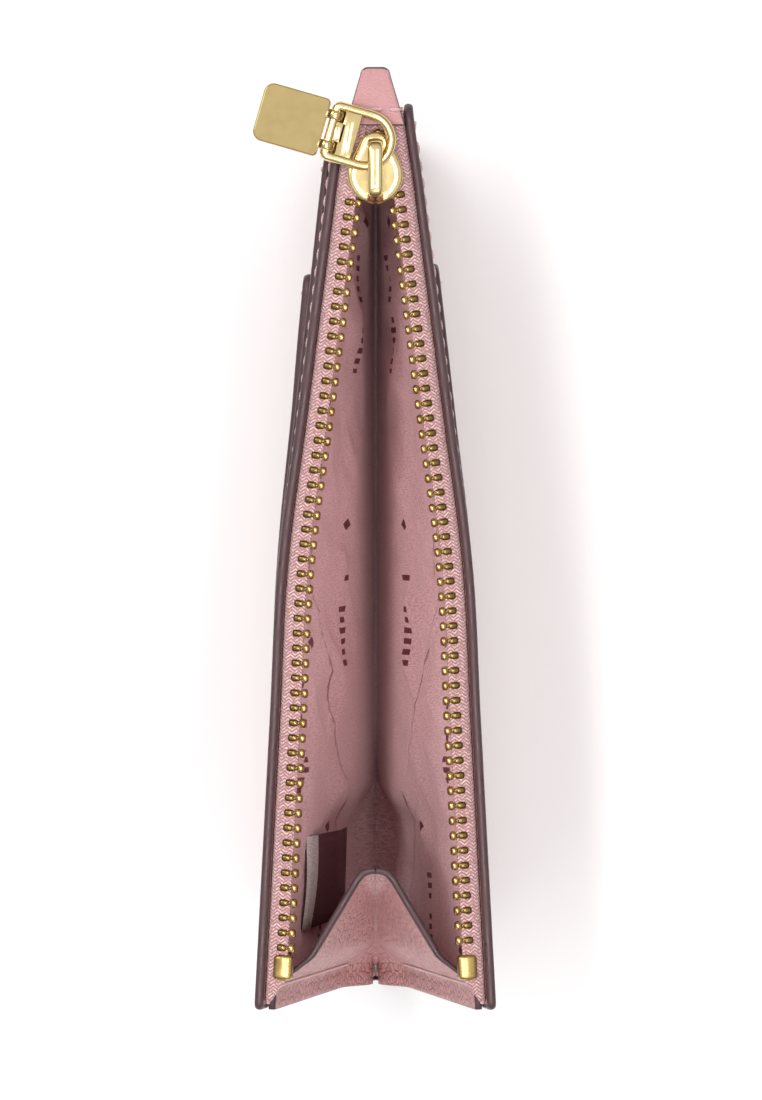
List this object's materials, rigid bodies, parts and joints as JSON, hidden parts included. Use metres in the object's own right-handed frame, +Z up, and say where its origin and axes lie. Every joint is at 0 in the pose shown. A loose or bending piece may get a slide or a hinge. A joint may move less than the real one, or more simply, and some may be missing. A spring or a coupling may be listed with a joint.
{
  "type": "slim zip card wallet",
  "caption": "Slim leather card wallet with a straight metal zip along its top edge, a V gusset at one end, lining and outside pockets.",
  "frame": {"origin": "middle of the flat bottom fold that the wallet stands on", "axes": "+Z up out of the open mouth, +Y along the zip to the end where the slider rests, -X the front with the card pocket"},
  "size_m": [0.0339, 0.1324, 0.0928],
  "materials": {
    "pink_leather": "pebbled grain, semi-matt, dark plum painted edges",
    "satin_lining": "satin twill",
    "satin_label": "satin",
    "zip_tape": "woven tape",
    "antique_brass": "antique, polished",
    "light_gold": "polished",
    "thread": "twisted thread"
  },
  "bodies": {
    "base": {"back_lining_base": "satin_lining", "back_slip_pocket_base": "pink_leather", "card_pocket_base": "pink_leather", "far_end_strip": "pink_leather", "front_lining_base": "satin_lining", "front_slip_pocket_base": "pink_leather", "outer_leather_base": "pink_leather", "tab_stitching": "thread", "zip_end_tab": "pink_leather", "zip_tape_shut_end": "zip_tape"},
    "front_inner": {"card_pocket_inner": "pink_leather", "front_lining_inner": "satin_lining", "front_panel_inner": "pink_leather", "front_slip_pocket_inner": "pink_leather", "front_zip_tape_inner": "zip_tape", "front_zip_teeth_inner": "antique_brass"},
    "front_outer": {"card_pocket_outer": "pink_leather", "front_end_stitching": "thread", "front_gusset_flange": "pink_leather", "front_lining_outer": "satin_lining", "front_panel_outer": "pink_leather", "front_slip_pocket_outer": "pink_leather", "front_top_stop": "antique_brass", "front_zip_tape_outer": "zip_tape", "front_zip_teeth_outer": "antique_brass", "satin_label": "satin_label"},
    "front_gusset": {"front_gusset_arm": "pink_leather"},
    "back_inner": {"back_lining_inner": "satin_lining", "back_panel_inner": "pink_leather", "back_slip_pocket_inner": "pink_leather", "back_zip_tape_inner": "zip_tape", "back_zip_teeth_inner": "antique_brass"},
    "back_outer": {"back_end_stitching": "thread", "back_gusset_flange": "pink_leather", "back_lining_outer": "satin_lining", "back_panel_outer": "pink_leather", "back_slip_pocket_outer": "pink_leather", "back_top_stop": "antique_brass", "back_zip_tape_outer": "zip_tape", "back_zip_teeth_outer": "antique_brass"},
    "back_gusset": {"back_gusset_arm": "pink_leather"},
    "slider": {"slider_body": "light_gold", "slider_bridge": "light_gold"},
    "pull": {"pull_loop": "light_gold"},
    "plate": {"pull_plate": "light_gold"}
  },
  "joints": [
    {"name": "front_opening", "type": "hinge", "parent": "base", "child": "front_inner", "pos_m": [-0.00458, -0.0635, 0.006], "axis": [0, -0.8401, -0.5424], "range_deg": [-13.84, 0], "deforming": ["back_zip_teeth_inner", "back_zip_teeth_outer", "front_zip_teeth_inner", "front_zip_teeth_outer"]},
    {"name": "front_outer_fold", "type": "hinge", "parent": "front_inner", "child": "front_outer", "pos_m": [-0.00458, -0.0635, 0.006], "axis": [-0.082, 0.6085, 0.7893], "range_deg": [-5.64, 0]},
    {"name": "front_gusset_fold", "type": "hinge", "parent": "front_outer", "child": "front_gusset", "pos_m": [-0.00213, -0.06363, 0.00635], "axis": [0.1432, -0.0078, -0.9897], "range_deg": [-27.84, 0]},
    {"name": "back_opening", "type": "hinge", "parent": "base", "child": "back_inner", "pos_m": [0.00458, -0.0635, 0.006], "axis": [0, 0.8401, 0.5424], "range_deg": [-13.84, 0]},
    {"name": "back_outer_fold", "type": "hinge", "parent": "back_inner", "child": "back_outer", "pos_m": [0.00458, -0.0635, 0.006], "axis": [-0.082, -0.6085, -0.7893], "range_deg": [-5.64, 0]},
    {"name": "back_gusset_fold", "type": "hinge", "parent": "back_outer", "child": "back_gusset", "pos_m": [0.00213, -0.06363, 0.00635], "axis": [0.1432, 0.0078, 0.9897], "range_deg": [-27.84, 0]},
    {"name": "zip_slide", "type": "slide", "parent": "base", "child": "slider", "axis": [0, -1, 0], "range_m": [0, 0.10485]},
    {"name": "pull_swivel", "type": "hinge", "parent": "slider", "child": "pull", "pos_m": [0, 0.05775, 0.09068], "axis": [0, 0, 1], "range_deg": [-100, 40]},
    {"name": "plate_flip", "type": "hinge", "parent": "pull", "child": "plate", "pos_m": [-0.00615, 0.05951, 0.09068], "axis": [0.2756, 0.9613, 0], "range_deg": [0, 100]}
  ],
  "couplings": [
    {"joint": "front_outer_fold", "follows": "front_opening", "ratio": 0.40414},
    {"joint": "front_gusset_fold", "follows": "front_opening", "ratio": 2.0086},
    {"joint": "back_opening", "follows": "front_opening", "ratio": 1},
    {"joint": "back_outer_fold", "follows": "front_opening", "ratio": 0.40414},
    {"joint": "back_gusset_fold", "follows": "front_opening", "ratio": 2.0086},
    {"joint": "zip_slide", "follows": "front_opening", "m_per_rad": -0.43335}
  ]
}
